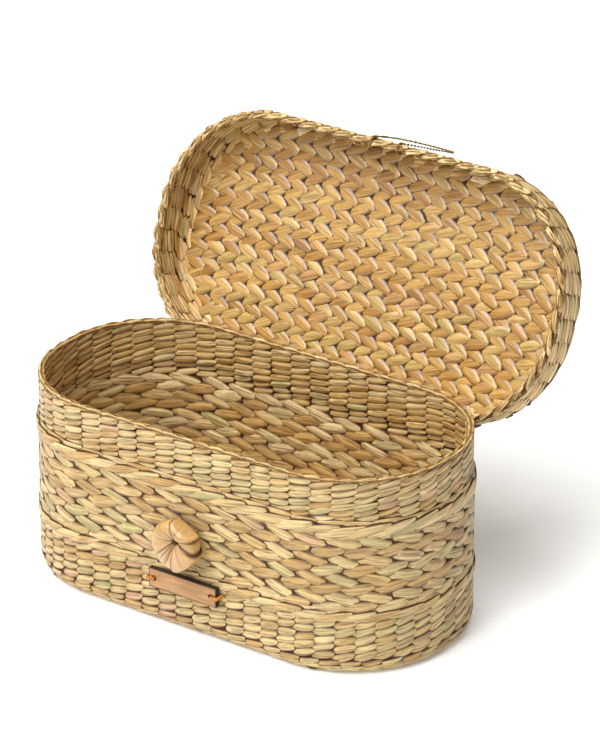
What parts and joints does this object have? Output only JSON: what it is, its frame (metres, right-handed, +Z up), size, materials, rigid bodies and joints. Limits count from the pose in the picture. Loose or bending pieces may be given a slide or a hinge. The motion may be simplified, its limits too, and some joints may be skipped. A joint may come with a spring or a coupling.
{
  "type": "woven reed box with hinged lid",
  "caption": "Woven reed box with rounded ends, a hinged slip-over lid shown open, a knotted reed toggle with a cord loop, and a small bare wooden tag.",
  "frame": {"origin": "middle of the underside of the base, on the surface that the box stands on", "axes": "+Z up, +X along the length, the front with the toggle faces -Y, and the lid is hinged at the +Y side"},
  "size_m": [0.2674, 0.2549, 0.226],
  "materials": {
    "woven_reed": "dry twined reed, straw coloured",
    "lid_reed": "dry twined reed, slightly glossy",
    "reed_cord": "twisted reed cord",
    "wide_reed": "folded flat reed",
    "tag_wood": "thin sawn wood with darkened edges",
    "amber_thong": "narrow waxed thong"
  },
  "bodies": {
    "basket": {"base_panel": "woven_reed", "lower_band": "woven_reed", "lower_wale": "woven_reed", "middle_band": "woven_reed", "upper_wale": "woven_reed", "upper_band": "woven_reed", "body_rim": "woven_reed", "hinge_lashing_1": "reed_cord", "hinge_lashing_2": "reed_cord", "hinge_lashing_3": "reed_cord", "hinge_lashing_4": "reed_cord", "toggle_knot": "wide_reed", "toggle_shank": "reed_cord", "tag_plate": "tag_wood", "tag_thong_left": "amber_thong", "tag_thong_right": "amber_thong"},
    "lid": {"lid_panel": "lid_reed", "lid_skirt": "lid_reed", "lid_rim": "lid_reed", "loop_tie": "reed_cord"},
    "loop": {"closure_loop": "reed_cord"}
  },
  "joints": [
    {"name": "lid_hinge", "type": "hinge", "parent": "basket", "child": "lid", "pos_m": [0, 0.0672, 0.095], "axis": [1, 0, 0], "range_deg": [0, 113]},
    {"name": "loop_swing", "type": "hinge", "parent": "lid", "child": "loop", "pos_m": [0.0033, 0.12116, 0.22212], "axis": [1, 0, 0], "range_deg": [0, 180]}
  ]
}
